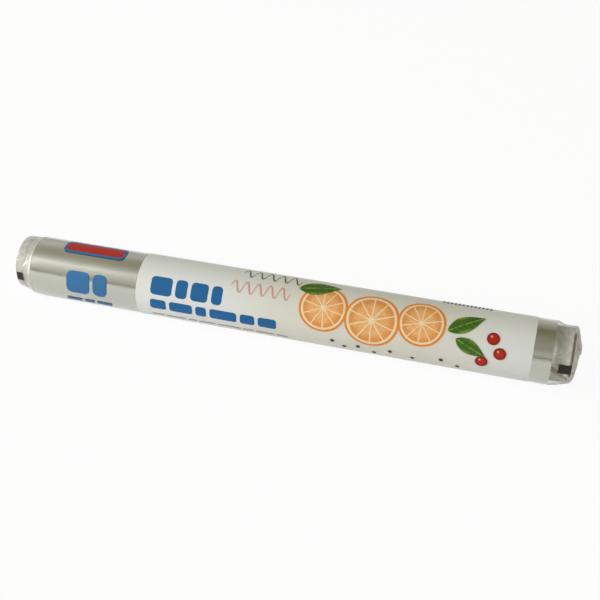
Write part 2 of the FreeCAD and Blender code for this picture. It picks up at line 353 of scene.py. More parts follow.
# A closed profile of (x, radius) with rounded edges, carried round the axis. Its rows are close
# over the last reach of each end
def makeCore():
    bore = coreRadius - core["wall"]
    turn = np.linspace(math.pi / 2, 0, 6)[:, None]
    edge = core["edgeRound"]
    middle = np.array([[-edge, coreRadius - edge]])
    corner = middle + edge * np.concatenate([np.cos(turn), np.sin(turn)], axis=1)
    inner = np.array([[0, bore + 0.1], [-0.1, bore]])
    reach = core["reach"]
    outer = [[-reach, coreRadius], [-reach / 2, coreRadius]]
    half = np.concatenate([outer, corner, inner, [[-reach, bore]]])
    right = half + [coreEnds[1], 0]
    left = half[::-1] * [-1, 1] - [coreEnds[-1], 0]
    profile = np.concatenate([right, left])
    angle = np.linspace(0, 2 * math.pi, core["aroundSteps"], endpoint=False)
    x, radius = profile[:, :1], profile[:, 1:]
    given = squeezed(x - foilEnd, angle, 1) + squeezed(-x - foilEnd, angle, -1)
    points = onRoll(x, angle, radius - given)
    faces = gridFaces(len(profile), core["aroundSteps"], True, True)
    makePiece("coreTube", [(points, [faces], None)], "core_tube", coreMaterial(), 40)


makeCore()
print("core made")


# The shrink film
film = {
    "wall": 0.12,
    "shoulderLength": 4.4,
    "collarLift": 0.22,
    "gatherRadius": 2.6,
    "gatherDimple": 1.7,
    "footHalfWidth": 3.2,
    "aroundSteps": 264,
    "bodySteps": 12,
    "shoulderSteps": 26,
    "collarSteps": 18,
    "gatherSteps": 24,
    "dimpleSteps": 5,
    "sway": (0.16, 0.11),
    "gatherLean": (9, 5),
    "peakAt": 0.95,
    "peakWidth": 0.35,
    "haze": 0.015,
    "milk": (0.80, 0.81, 0.77),
    "pile": (0.40, 0.385, 0.325),
    "ripple": 0.05,
    "dent": 0.55,
    "crease": 0.05,
    # Edge on, the film grows milkier and, as painted shade, greyer
    "edgeOnMilk": 0.85,
    "edgeOnShade": (0.50, 0.50, 0.47),
}
# Where the film is milky: degrees round the roll for edge, rimLow and front, and for the others mm
# past the foil's edge or short of the rim. The edge and rim bands are milk and painted highlight
# in one. Left is the share that stays where a band fades out
milkPlaces = {
    "edgeFrom": (8, 24), "edgeTo": (44, 62), "edgeAt": 0.7, "edgeWidth": 0.8, "left": 0.15,
    "rim": (5.0, 1.8), "rimLow": (-6, -22), "clear": (1.35, 1.0), "clearMilk": 0.25,
    "frontFrom": (-14, -6), "frontTo": (92, 80),
}
# How each end was drawn in. The film stands off the core by stand at standAngle and least on the
# other side, and taut is how straight it runs from foil to rim, with a steeper facet at the
# foil's edge. Below webTop, which turns by webTurn a mm, it is a taut web. Past the rim it reaches
# out by rise, by riseMore towards riseAngle, and by peak where one fold stands up. Milk is how
# cloudy one layer is, streak how uneven, edgeGlintMilk, rimGlintMilk and webMilk what is added at
# the foil's edge, at the rim and on the web, and pile the same for layers bunched up. What is added
# at the foil's edge and at the rim is milk and painted highlight in one. ClearRim is the share
# that the last millimetre before the rim loses at the front. Bend and corner round off the rim,
# and bendLow is added to bend below
filmEnds = {
    1: {
        "stand": 0.75, "standAngle": 95.0, "taut": 0.0, "facet": 0.0, "pleat": 0.40, "tipPleat": 0.9,
        "webTop": -5.0, "webTurn": -4.4, "webBottom": -125.0, "seed": 0.0, "corner": 0.95,
        "rise": 2.75, "riseMore": 0.5, "riseAngle": 60.0, "peak": 1.2, "peakAngle": 78.0,
        "milk": 0.20, "streak": 1.2, "edgeGlintMilk": 0.30, "rimGlintMilk": 0.24, "webMilk": 0.06,
        "pile": 1.30, "clearRim": 0.85, "bend": 1.55, "bendLow": -0.60,
    },
    -1: {
        "stand": 1.15, "standAngle": 110.0, "taut": 0.5, "facet": 0.34, "pleat": 0.10, "tipPleat": 0.4,
        "webTop": -30.0, "webTurn": -2.4, "webBottom": -125.0, "seed": 2.4, "corner": 1.0,
        "rise": 2.3, "riseMore": 0.2, "riseAngle": 60.0, "peak": 0.0, "peakAngle": 0.0,
        "milk": 0.30, "streak": 0.4, "edgeGlintMilk": 0.34, "rimGlintMilk": 0.15, "webMilk": 0.35,
        "pile": 0.70, "clearRim": 0.0, "bend": 0.85, "bendLow": 0.4,
    },
}
rims = {end: coreEnds[end] + 0.25 for end in (1, -1)}


# A sharp crease wherever phase is whole, and a broad hollow between
def crease(phase, power=1.6):
    return (2 * np.abs(np.mod(phase, 1) - 0.5)) ** power


# How far the film stands out at an angle and a distance past the foil's edge: 7, 11 and 18 creases
# round the roll, which run along it and lean across each other
def pleats(angle, past, seed):
    turn = angle / (2 * math.pi)
    first = crease(7 * turn + 0.045 * past + 0.12 * np.sin(2 * angle + seed) + seed)
    second = crease(11 * turn - 0.085 * past + 0.10 * np.sin(3 * angle - seed))
    third = crease(18 * turn + 0.16 * past + 0.2 * np.sin(angle + 2 * seed))
    return 0.45 * first + 0.35 * second * third + 0.2 * third


# Radius of the film's outside at x and angle, up to the rim. It is round on the foil with a flat
# foot, eases down to the core, and where it is taut it runs straight from foil to rim. Beside the
# radius it gives the share of taut web
def filmRadiusAt(x, angle, end):
    fold = filmEnds[end]
    past = x - foilEnd
    down = np.abs(np.mod(angle + math.pi / 2 + math.pi, 2 * math.pi) - math.pi)
    footTurn = math.atan2(film["footHalfWidth"], axisHeight)
    roundTurn = footTurn + math.acos(filmRadius / math.hypot(film["footHalfWidth"], axisHeight))
    foot = np.where(down < footTurn, axisHeight / np.cos(np.minimum(down, footTurn)), 0)
    slack = filmRadius / np.cos(np.clip(roundTurn - down, 0, roundTurn - footTurn))
    foot = np.maximum(foot, np.where(down < footTurn, 0, slack))
    edge = filmRadius - softened(end * x, angle)
    body = edge + (foot - filmRadius) * (1 - smooth(past, -3.0, -0.5))
    coreAt = coreRadius - squeezed(past, angle, end)
    collar = coreAt + film["collarLift"] + fold["stand"] * towards(angle, fold["standAngle"])
    kept = (1 + np.cos(math.pi * np.clip(past / film["shoulderLength"], 0, 1))) / 2
    depth = fold["pleat"] * smooth(past, -0.5, 6.0)
    draped = collar + (body - collar) * kept + depth * pleats(angle, past, fold["seed"])
    straight = edge + (collar + 0.1 - edge) * np.clip(past / (rims[end] - foilEnd), 0, 1)
    degrees = np.degrees(angle)
    degrees = np.where(degrees > 180, degrees - 360, degrees)
    top = fold["webTop"] + fold["webTurn"] * np.clip(past, 0, None)
    bottom = fold["webBottom"]
    web = smooth(degrees, top, top - 7) * smooth(degrees, bottom - 15, bottom) * smooth(past, 0, 0.5)
    share = np.maximum(web, fold["taut"] * smooth(past, 0, 0.5))
    taut = np.maximum(straight, collar) + 0.3 * depth * pleats(angle, past, fold["seed"])
    radius = draped + (np.maximum(taut, body * (past < 0)) - draped) * share
    # The facet falls by its depth over its first 1.2 mm and is made up again by the rim
    facet = np.clip(past / 1.2, 0, 1) * np.clip((rims[end] - x) / (rims[end] - foilEnd - 1.2), 0, 1)
    return radius - fold["facet"] * facet * towards(angle, 20), web


# How cloudy the film is up to the rim. Its milk is uneven by its pleats and grows by the square of
# the web. It also grows by a band high on the foil's edge and one before the rim, which are painted
# highlight as well as milk. The last bit before the rim is clear
def collarCloud(x, angle, web, end):
    fold, at = filmEnds[end], milkPlaces
    past, short, degrees = x - foilEnd, rims[end] - x, np.degrees(angle)
    uneven = 1 + fold["streak"] * (pleats(angle, past, fold["seed"]) - 0.5)
    cloud = fold["milk"] * uneven * smooth(past, -0.4, 0.4) + fold["webMilk"] * web ** 2
    fades = 1 - at["left"]
    # A bright band along the foil's edge, high on the roll where a highlight falls: painted highlight
    # as well as milk
    edgeGlintBand = smooth(degrees, *at["edgeFrom"]) * (1 - fades * smooth(degrees, *at["edgeTo"]))
    edgeGlintBand = edgeGlintBand * np.exp(-((past - at["edgeAt"]) / at["edgeWidth"]) ** 2)
    # Brighter before the rim: painted highlight as well as milk
    rimGlintBand = smooth(short, *at["rim"]) * (1 - fades * smooth(degrees, *at["rimLow"]))
    cloud = cloud + fold["edgeGlintMilk"] * edgeGlintBand + fold["rimGlintMilk"] * rimGlintBand
    last = fold["clearRim"] * smooth(short, *at["clear"])
    front = smooth(degrees, *at["frontFrom"]) * smooth(degrees, *at["frontTo"])
    return cloud * (1 - last * front) + at["clearMilk"] * last * (1 - front)


# Past the rim: x, radius and bunching of a quarter ellipse, whose pleats bunch and stand out along
# the roll
def gathers(angle, end):
    fold, rim = filmEnds[end], rims[end]
    turn = np.linspace(0, math.pi / 2, film["gatherSteps"])[:, None]
    rimRadius = filmRadiusAt(np.full_like(angle, rim), angle, end)[0][None]
    inward = np.cos(turn) ** (fold["bend"] + fold["bendLow"] * towards(angle, -80))
    radius = film["gatherRadius"] + (rimRadius - film["gatherRadius"]) * inward
    sway, lean = film["sway"], film["gatherLean"]
    swayed = angle + sway[0] * np.sin(2 * angle + fold["seed"]) + sway[1] * np.sin(5 * angle + 1)
    bunch = pleats(swayed, lean[0] + lean[1] * np.sin(turn), fold["seed"] + 1.3)
    rise = fold["rise"] + fold["riseMore"] * (2 * towards(angle, fold["riseAngle"]) - 1)
    x = rim + rise * np.sin(turn) ** fold["corner"]
    x = x + fold["tipPleat"] * np.sin(turn) * (bunch - 0.5)
    peakTurn = np.exp(-((turn - film["peakAt"]) / film["peakWidth"]) ** 2)
    x = x + fold["peak"] * peakTurn * towards(angle, fold["peakAngle"]) ** 12
    return turn, x, radius, bunch


# One half of the film, from the roll's middle to its tip: x, radius and cloudiness for each row
# and angle, and where the tip's middle lies. Cloudiness goes from 0 to 1 for one clear layer
# gone milky, and on to 2 for layers piled up past the rim
def filmHalfGrid(end, angle):
    fold = filmEnds[end]
    stops = [0, foilEnd - 6, foilEnd + film["shoulderLength"], rims[end]]
    counts = [film["bodySteps"], film["shoulderSteps"], film["collarSteps"]]
    runs = [np.linspace(a, b, n, endpoint=False) for a, b, n in zip(stops, stops[1:], counts)]
    x = np.concatenate(runs)[:, None] + 0 * angle
    radius, web = filmRadiusAt(x, angle, end)
    cloud = collarCloud(x, angle, web, end)
    turn, gatherX, gatherRadius, bunch = gathers(angle, end)
    pile = fold["pile"] * (1 + 0.45 * (bunch - 0.5))
    gatherCloud = cloud[-1] + (pile - cloud[-1]) * smooth(turn, 0.0, 0.12)
    # The middle is drawn in
    sink = np.linspace(0, 1, film["dimpleSteps"] + 1, endpoint=False)[1:, None]
    dimpleRadius = film["gatherRadius"] * (1 - sink) + 0 * angle
    middle = gatherX[-1].mean() - film["gatherDimple"]
    dimpleX = gatherX[-1] + (middle - gatherX[-1]) * smooth(sink, 0, 1)
    x = np.concatenate([x, gatherX, dimpleX])
    radius = np.concatenate([radius, gatherRadius, dimpleRadius])
    cloud = np.concatenate([cloud, gatherCloud, 1.1 * fold["pile"] + 0 * dimpleX])
    return x, radius, np.clip(cloud, 0, 2), dimpleX[-1].mean()


# Clear gloss over haze, which grows with the cloudiness in the UV map's first part
def filmMaterial():
    material, tree, shader = newMaterial("clearShrinkFilm")
    cloud = uvParts(tree)[2]
    outward = calc(tree, "ABSOLUTE", objectXyz(tree)[0])
    ends = ease(tree, outward, (foilEnd - 0.5) * mm, (foilEnd + 3) * mm)
    pastFoil = ease(tree, outward, (foilEnd - 0.2) * mm, (foilEnd + 0.6) * mm)
    # Past the foil the film is dented. Its creases are where the dents pass their middle height
    broad = noise(tree, (420.0, 330.0, 330.0), 2.0)
    dents = noise(tree, (520.0, 420.0, 420.0), 1.0)
    lines = ease(tree, calc(tree, "ABSOLUTE", calc(tree, "SUBTRACT", dents, 0.5)), 0.14, 0.0)
    lines = times(tree, lines, film["crease"])
    height = calc(tree, "MULTIPLY_ADD", dents, film["dent"], lines)
    height = times(tree, height, ends)
    height = calc(tree, "MULTIPLY_ADD", broad, film["ripple"], height)
    crumpled = bump(tree, height, 1.0, 1.0)
    clear = addNode(tree, "BsdfTransparent", {0: colour(0.985, 0.99, 0.98)})
    inputs = {"Color": colour(1, 1, 1), "Roughness": 0.06, "Normal": crumpled}
    gloss = addNode(tree, "BsdfGlossy", inputs)
    fresnel = addNode(tree, "Fresnel", {"IOR": 1.5, "Normal": crumpled}).outputs[0]
    # The wall's inner side stays clear, so that light is turned back by the wall only once
    inner = addNode(tree, "NewGeometry", {}).outputs["Backfacing"]
    outer = calc(tree, "SUBTRACT", 1.0, inner)
    shiny = mixShaders(tree, times(tree, fresnel, outer), clear, gloss)
    fibres = noise(tree, (1500.0, 500.0, 500.0), 3.0, 0.7)
    piled = ease(tree, cloud, 0.8, 1.5)
    # Seen edge on, the film past the foil is looked through along its length: denser, and greyer by
    # painted shade that dims its grazing reflection
    edgeOn = addNode(tree, "LayerWeight", {"Blend": 0.5}).outputs["Facing"]
    edgeOn = times(tree, calc(tree, "POWER", edgeOn, 5.0), pastFoil)
    milky = blend(tree, edgeOn, colour(*film["milk"]), colour(*film["edgeOnShade"]))
    tint = blend(tree, piled, milky, colour(*film["pile"]))
    streaks = calc(tree, "MULTIPLY_ADD", fibres, 0.9, 0.55)
    streaked = blend(tree, 1.0, tint, streaks, "MULTIPLY")
    tint = blend(tree, piled, tint, streaked)
    fill(tree, shader, {"Base Color": tint, "Roughness": 0.45, "Normal": crumpled})
    cloudy = calc(tree, "MULTIPLY_ADD", broad, 0.6, 0.7)
    cloudy = times(tree, calc(tree, "MINIMUM", cloud, 1.0), cloudy)
    cloudy = calc(tree, "MULTIPLY_ADD", edgeOn, film["edgeOnMilk"], cloudy)
    cloudy = calc(tree, "MINIMUM", calc(tree, "ADD", cloudy, film["haze"]), 0.92)
    toSurface(tree, mixShaders(tree, times(tree, cloudy, outer), shiny, shader))
    return material


# Both halves joined at the middle, with a point at each tip, then given a wall inwards
def makeFilm():
    angle = np.linspace(-math.pi, math.pi, film["aroundSteps"], endpoint=False)
    rightX, rightRadius, rightCloud, rightTip = filmHalfGrid(1, angle)
    leftX, leftRadius, leftCloud, leftTip = filmHalfGrid(-1, angle)
    x = np.concatenate([-leftX[::-1], rightX[1:]])
    radius = np.concatenate([leftRadius[::-1], rightRadius[1:]])
    cloud = np.concatenate([leftCloud[::-1], rightCloud[1:]])
    rows, columns = x.shape
    points = onRoll(x, angle, radius)
    tips = onRoll(np.array([-leftTip, rightTip]), 0.0, 0.0)
    column = np.arange(columns)
    after = (column + 1) % columns
    last = (rows - 1) * columns
    leftFan = np.stack([np.full(columns, rows * columns), column, after], axis=1)
    rightFan = np.stack([last + column, np.full(columns, rows * columns + 1), last + after], axis=1)
    faces = [gridFaces(rows, columns, False, True), leftFan, rightFan]
    points = np.concatenate([points, tips])
    cloud = np.concatenate([cloud.ravel(), [1.6, 1.6]])
    uv = np.stack([cloud, np.zeros_like(cloud)], axis=1)
    wrap = makePiece("filmWrap", [(points, faces, uv)], "film_wrap", filmMaterial(), 60)
    wall = wrap.modifiers.new("wall", "SOLIDIFY")
    wall.thickness, wall.offset = film["wall"] * mm, -1


makeFilm()
print("film shrunk on")


# The print on the film
ink = {"lift": 0.06, "thickness": 0.05, "pitch": 0.08, "roughness": 0.40, "gloss": 0.06}
panel = {
    "openTurn": 27.4,
    "alongSteps": 60,
    "aroundSteps": 180,
    "tint": (0.67, 0.69, 0.68),
    "warmTint": (0.64, 0.64, 0.575),
    "warmFrom": (-30, 10),
    "warmTo": (120, 80),
}


# Radius of a layer's underside
def layerRadius(layer):
    return filmRadius + ink["lift"] + layer * ink["pitch"]


# The points of a flat shape, in mm along and round the roll from its middle, wrapped on the roll
def wrapped(u, v, centreX, centreDeg, radius):
    return onRoll(centreX + u, math.radians(centreDeg) + v / radius, radius)


# Faces of a sheet whose rows hold its top's points and then its underside's, turned about
def closedSheet(rows, columns):
    column = np.arange(columns - 1)
    other = 2 * columns - 1 - column
    first = np.stack([column, column + 1, other - 1, other], axis=1)
    last = first[:, ::-1] + (rows - 1) * 2 * columns
    return [gridFaces(rows, 2 * columns, False, True), first, last]


# A thin closed sheet from a grid of u and v: its top, its underside and the rim between
def sheet(u, v, centreX, centreDeg, layer):
    rows, columns = u.shape
    low = layerRadius(layer)
    bothU, bothV = (np.concatenate([a, a[:, ::-1]], axis=1) for a in (u, v))
    radius = np.concatenate([np.full(u.shape, low + ink["thickness"]), np.full(u.shape, low)], axis=1)
    points = onRoll(centreX + bothU, math.radians(centreDeg) + bothV / low, radius)
    return points, closedSheet(rows, columns), np.stack([bothU, bothV], axis=-1).reshape(-1, 2)


# A thin closed patch: rings of points from its middle out to its outline, on top and underneath
def patch(outline, centreX, centreDeg, layer, rings=10, uvSize=1.0):
    count = len(outline)
    shares = np.linspace(0, 1, rings + 1)[1:]
    flat = np.concatenate([[[0.0, 0.0]], (shares[:, None, None] * outline[None]).reshape(-1, 2)])
    low = layerRadius(layer)
    high = low + ink["thickness"]
    under = wrapped(flat[:, 0], flat[:, 1], centreX, centreDeg, low)
    top = wrapped(flat[:, 0], flat[:, 1] * high / low, centreX, centreDeg, high)
    spoke = np.arange(count)
    after = (spoke + 1) % count
    fan = np.stack([np.zeros(count, dtype=int), 1 + spoke, 1 + after], axis=1)
    ring = gridFaces(rings, count, False, True) + 1
    rim, size = 1 + (rings - 1) * count, len(flat)
    side = np.stack([rim + spoke, size + rim + spoke, size + rim + after, rim + after], axis=1)
    faces = [fan, ring, fan[:, ::-1] + size, ring[:, ::-1] + size, side]
    return np.concatenate([top, under]), faces, np.concatenate([flat, flat]) / uvSize


def disc(radius, count):
    turn = np.linspace(0, 2 * math.pi, count, endpoint=False)
    return radius * np.stack([np.cos(turn), np.sin(turn)], axis=1)


# A bar with rounded corners: four arcs, then even points along the whole outline
def roundedBar(width, height, corner, count=96):
    turn = np.concatenate([np.linspace(a, a + math.pi / 2, 7) for a in np.arange(4) * math.pi / 2])
    side = np.repeat([[1, 1], [-1, 1], [-1, -1], [1, -1]], 7, axis=0)
    corners = side * [width / 2 - corner, height / 2 - corner]
    corners = corners + corner * np.stack([np.cos(turn), np.sin(turn)], axis=1)
    return evenly(corners, count)


# A leaf: two sides of half its width times sin(pi times share to the 0.8), turned by its tilt
def leaf(length, width, tiltDeg, count=80):
    share = np.linspace(0, 1, 40, endpoint=False)
    share = np.concatenate([share, 1 - share])
    side = np.repeat([1, -1], 40)
    across = -side * width / 2 * np.sin(math.pi * share ** 0.8)
    along = length * (share - 0.5)
    return evenly(turned(np.stack([along, across], axis=1), tiltDeg), count)


# Flat points turned about their middle
def turned(flat, tiltDeg):
    tilt = math.radians(tiltDeg)
    x = flat[:, 0] * math.cos(tilt) - flat[:, 1] * math.sin(tilt)
    y = flat[:, 0] * math.sin(tilt) + flat[:, 1] * math.cos(tilt)
    return np.stack([x, y], axis=1)


# Points at even steps along a closed outline
def evenly(outline, count):
    closed = np.concatenate([outline, outline[:1]])
    lengths = np.hypot(*np.diff(closed, axis=0).T)
    reach = np.concatenate([[0], np.cumsum(lengths)])
    steps = np.linspace(0, reach[-1], count, endpoint=False)
    return np.stack([np.interp(steps, reach, closed[:, axis]) for axis in (0, 1)], axis=1)


# Glossy print: a colour that is uneven by a little, under a clear gloss
def finish(tree, shader, base, uneven, roughness=ink["roughness"], gloss=ink["gloss"]):
    fine = noise(tree, (2200.0, 2200.0, 2200.0), 3.0, 0.7)
    broad = noise(tree, (90.0, 90.0, 90.0), 2.0)
    shade = calc(tree, "ADD", times(tree, fine, 0.6), times(tree, broad, 0.4))
    grey = calc(tree, "MULTIPLY_ADD", shade, -2 * uneven, 1 + uneven)
    tint, normal = blend(tree, 1.0, base, grey, "MULTIPLY"), bump(tree, broad, 0.15, 0.05)
    fill(tree, shader, {"Base Color": tint, "Roughness": roughness, "Normal": normal})
    fill(tree, shader, {"Coat Weight": gloss, "Coat Roughness": 0.12, "Specular IOR Level": 0.25})


def inkMaterial(name, tint, uneven=0.12, **gloss):
    material, tree, shader = newMaterial(name)
    finish(tree, shader, colour(*tint), uneven, **gloss)
    return material


# Blue ink, paler left of the panel, where it lies on clear film
def blueMaterial():
    material, tree, shader = newMaterial("bluePrint")
    along = objectXyz(tree)[0]
    onPanel = ease(tree, along, (panelLeft - 0.5) * mm, (panelLeft + 0.5) * mm)
    base = blend(tree, onPanel, colour(*blue["bareTint"]), colour(*blue["tint"]))
    finish(tree, shader, base, 0.10)
    return material


# White, a little warmer where the picture stands
def panelMaterial():
    material, tree, shader = newMaterial("whitePrint")
    along = calc(tree, "DIVIDE", objectXyz(tree)[0], mm)
    warmth = [ease(tree, along, *panel[side]) for side in ("warmFrom", "warmTo")]
    warmth = times(tree, *warmth)
    base = blend(tree, warmth, colour(*panel["tint"]), colour(*panel["warmTint"]))
    finish(tree, shader, base, 0.03, 0.36, 0.45)
    return material


# The panel is open by openTurn to each side of the roll's underside
def makePanel():
    halfTurn = math.radians(180 - panel["openTurn"])
    u = np.linspace(-panelHalf[0], panelHalf[0], panel["alongSteps"])[:, None]
    v = halfTurn * layerRadius(0) * np.linspace(-1, 1, panel["aroundSteps"])[None]
    part = sheet(*np.broadcast_arrays(u, v), panelMiddle[0], 90.0, 0)
    makePiece("whitePanel", [part], "print_white_panel", panelMaterial())


makePanel()

# Places are shares of the panel's width, or of the bare width left of it, and angles
blue = {
    "tint": (0.006, 0.108, 0.300),
    "bareTint": (0.032, 0.145, 0.335),
    "badge": {
        "share": 0.46, "angle": 92.0, "width": 36.0, "height": 10.5, "corner": 3.0, "rim": 1.6,
    },
    "blocks": {
        "share": 0.46, "angle": 16.0, "widths": [13.4, 8.0],
        "height": 13.0, "gap": 2.1, "corner": 3.2,
    },
    "small": {
        "share": 0.46, "angle": -28.0, "widths": [9.0, 6.0, 9.0],
        "height": 2.4, "gap": 1.4, "corner": 0.7,
    },
    "heading": {
        "angle": 37.0, "widths": [12.0, 6.5, 9.5, 5.8],
        "height": 10.0, "gap": 2.1, "corner": 2.2,
    },
    "line": {
        "angle": 0.0, "widths": [9.0, 13.0, 6.0, 15.0, 8.0, 10.0],
        "height": 6.0, "gap": 1.9, "corner": 1.5,
    },
    "margin": 8.3,
}
fine = {
    "angle": -28.5, "widths": [7.0, 11.0, 5.0, 9.0, 13.0, 6.0, 10.0, 6.0],
    "height": 1.3, "gap": 1.3, "corner": 0.4,
}
bars = {
    "share": 0.83, "angle": 124.0, "count": 13,
    "width": 1.0, "pitch": 2.0, "height": 9.0, "corner": 0.2,
}


# Bars side by side from the left, a gap apart
def barRow(row, left, layer):
    parts = []
    for width in row["widths"]:
        outline = roundedBar(width, row["height"], row["corner"])
        parts.append(patch(outline, left + width / 2, row["angle"], layer, 12))
        left += width + row["gap"]
    return parts


def centredRow(row, centre, layer):
    span = sum(row["widths"]) + row["gap"] * (len(row["widths"]) - 1)
    return barRow(row, centre - span / 2, layer)


def bareX(share):
    return panelLeft - bareLeft * share


def panelX(share):
    return panelLeft + panelWidth * share


# All that is made of plain bars: the badge's back, blocks, rows, fine lines and even bars
def makeBars():
    badge = blue["badge"]
    outline = roundedBar(badge["width"], badge["height"], badge["corner"], 128)
    parts = [patch(outline, bareX(badge["share"]), badge["angle"], 0, 12)]
    for row in (blue["blocks"], blue["small"]):
        parts += centredRow(row, bareX(row["share"]), 0)
    left = panelLeft + blue["margin"]
    parts += barRow(blue["heading"], left, 1) + barRow(blue["line"], left, 1)
    makePiece("blueShapes", parts, "print_blue", blueMaterial())
    grey = inkMaterial("greyPrint", (0.23, 0.25, 0.26))
    makePiece("fineLine", barRow(fine, left, 1), "print_grey", grey)
    row = {"widths": [bars["width"]] * bars["count"], "gap": bars["pitch"] - bars["width"], **bars}
    black = inkMaterial("blackPrint", (0.02, 0.02, 0.02))
    makePiece("evenBars", centredRow(row, panelX(bars["share"]), 1), "print_black", black)


makeBars()

# Two waving lines, drawn like a broad pen: thick going down and thin going up
waves = {"length": 32.0, "height": 6.4, "line": 1.1, "crests": 5, "steps": 241}
fruit = {
    "rind": 1.2,
    "radii": [12.8, 14.2, 12.2],
    "angles": [48.0, 40.0, 50.0],
    "share": 0.61,
    "spin": 40.107,
    "segments": 10,
    "rindTint": (0.72, 0.235, 0.035),
    "fleshTint": (0.74, 0.30, 0.075),
    "paleTint": (0.80, 0.48, 0.22),
    "pithTint": (0.80, 0.66, 0.42),
}
pinkLine = {"gap": 5.8, "angle": 61.0, "tint": (0.72, 0.30, 0.27)}
greenLine = {"gap": 1.6, "angle": 97.0, "leafPlace": (0.15, 0.3)}
# Each leaf: share of the panel's width, angle, length, width and tilt
leaves = {
    "places": [
        (0.470, 86.0, 22.0, 9.0, 12.0),
        (0.838, 62.0, 20.0, 8.5, 30.0),
        (0.855, 22.0, 17.0, 7.5, -24.0),
    ],
    "dark": (0.035, 0.115, 0.012),
    "lime": (0.22, 0.34, 0.035),
}
berries = {
    "radius": 3.1,
    "places": [(0.905, 44.0), (0.925, 20.0), (0.885, 0.0)],
    "tint": (0.42, 0.016, 0.004),
}
pepper = {
    "radius": 1.1,
    "places": [
        (0.520, -13.0), (0.550, -25.0), (0.585, -18.0), (0.625, -29.0),
        (0.665, -16.0), (0.720, -24.0), (0.790, -14.0), (0.830, -26.0),
    ],
    "tint": (0.075, 0.03, 0.012),
}


# Where the row of slices starts: its length is that of all the slices less their shared rinds
def slicesLeft():
    rowLength = 2 * sum(fruit["radii"]) - fruit["rind"] * (len(fruit["radii"]) - 1)
    return panelX(fruit["share"]) - rowLength / 2


# The line's middle is half its height times sin(2 pi crests share), and its half width swells
# from a third to the whole of half its line as it goes down
def penLine(gap, angleDeg, layer):
    share = np.linspace(0, 1, waves["steps"])[:, None]
    across = np.linspace(-1, 1, 5)[None]
    phase = 2 * math.pi * waves["crests"] * share
    half = waves["line"] / 2 * (0.65 - 0.35 * np.cos(phase))
    u = waves["length"] * (share - 0.5) + 0 * across
    v = waves["height"] / 2 * np.sin(phase) + half * across * np.hypot(1, np.cos(phase) * 2.0)
    centre = slicesLeft() - gap - waves["length"] / 2
    return sheet(u, v, centre, angleDeg, layer)


# Cut citrus: segments between pale walls, with long juice cells, a pale middle and a pale edge
def fleshMaterial():
    material, tree, shader = newMaterial("citrusPrint")
    radius, u, v = uvParts(tree)[1:]
    turn = calc(tree, "DIVIDE", calc(tree, "ARCTAN2", v, u), 2 * math.pi)
    # A wall stands wherever turn times the count of segments, plus 0.35, is whole
    count = fruit["segments"]
    sector = calc(tree, "FRACT", calc(tree, "MULTIPLY_ADD", turn, count, 0.35))
    edge = calc(tree, "SUBTRACT", 0.5, calc(tree, "ABSOLUTE", calc(tree, "SUBTRACT", sector, 0.5)))
    away = times(tree, times(tree, edge, radius), 2 * math.pi / count)
    wall = ease(tree, away, 0.034, 0.014)
    middle = ease(tree, radius, 0.13, 0.08)
    pith = ease(tree, radius, 0.885, 0.925)
    pale = calc(tree, "MAXIMUM", calc(tree, "MAXIMUM", wall, middle), pith)
    # Juice cells are long from the middle outwards
    long, across = times(tree, radius, 6.0), times(tree, turn, 60.0)
    cellPlace = addNode(tree, "CombineXYZ", {0: across, 1: long}).outputs[0]
    inputs = {"Vector": cellPlace, "Scale": 1.0}
    cells = addNode(tree, "TexVoronoi", inputs).outputs["Distance"]
    inputs = {"Vector": cellPlace, "Scale": 0.6, "Detail": 3.0}
    streaks = addNode(tree, "TexNoise", inputs).outputs[0]
    tone = calc(tree, "MULTIPLY_ADD", cells, 0.55, times(tree, streaks, 0.6))
    strong, light = colour(*fruit["fleshTint"]), colour(*fruit["paleTint"])
    flesh = blend(tree, ease(tree, tone, 0.30, 0.85), strong, light)
    outerTint = colour(*[0.9 * c for c in fruit["fleshTint"]])
    deep = blend(tree, ease(tree, radius, 0.5, 0.9), flesh, outerTint)
    base = blend(tree, pale, deep, colour(*fruit["pithTint"]))
    finish(tree, shader, base, 0.05)
    return material


# Dark green with a lime rib, veins that lean from it to the tip, and a lime edge
def leafMaterial():
    material, tree, shader = newMaterial("leafPrint")
    u, v = uvParts(tree)[2:]
    side = calc(tree, "ABSOLUTE", v)
    rib = ease(tree, side, 0.11, 0.04)
    lean = calc(tree, "SUBTRACT", times(tree, u, 4.0), times(tree, side, 1.6))
    vein = calc(tree, "ABSOLUTE", calc(tree, "SUBTRACT", calc(tree, "FRACT", lean), 0.5))
    vein = ease(tree, vein, 0.09, 0.03)
    mottle = noise(tree, (500.0, 500.0, 500.0), 3.0)
    edge = times(tree, ease(tree, side, 0.45, 0.95), 0.8)
    pale = calc(tree, "MAXIMUM", calc(tree, "MAXIMUM", rib, times(tree, vein, 0.55)), edge)
    pale = times(tree, pale, ease(tree, mottle, 0.25, 0.65))
    base = blend(tree, pale, colour(*leaves["dark"]), colour(*leaves["lime"]))
    finish(tree, shader, base, 0.14)
    return material


# Red that darkens to the edge, with a pale spot up and to the left
def berryMaterial():
    material, tree, shader = newMaterial("berryPrint")
    place, radius = uvParts(tree)[:2]
    shade = ease(tree, radius, 0.45, 1.05)
    dark = colour(*[0.45 * c for c in berries["tint"]])
    body = blend(tree, shade, colour(*berries["tint"]), dark)
    inputs = {0: place, 1: (-0.28, 0.34, 0.0)}
    offset = addNode(tree, "VectorMath", inputs, operation="DISTANCE").outputs["Value"]
    spot = ease(tree, offset, 0.24, 0.06)
    base = blend(tree, times(tree, spot, 0.75), body, colour(0.85, 0.62, 0.42))
    finish(tree, shader, base, 0.08)
    return material


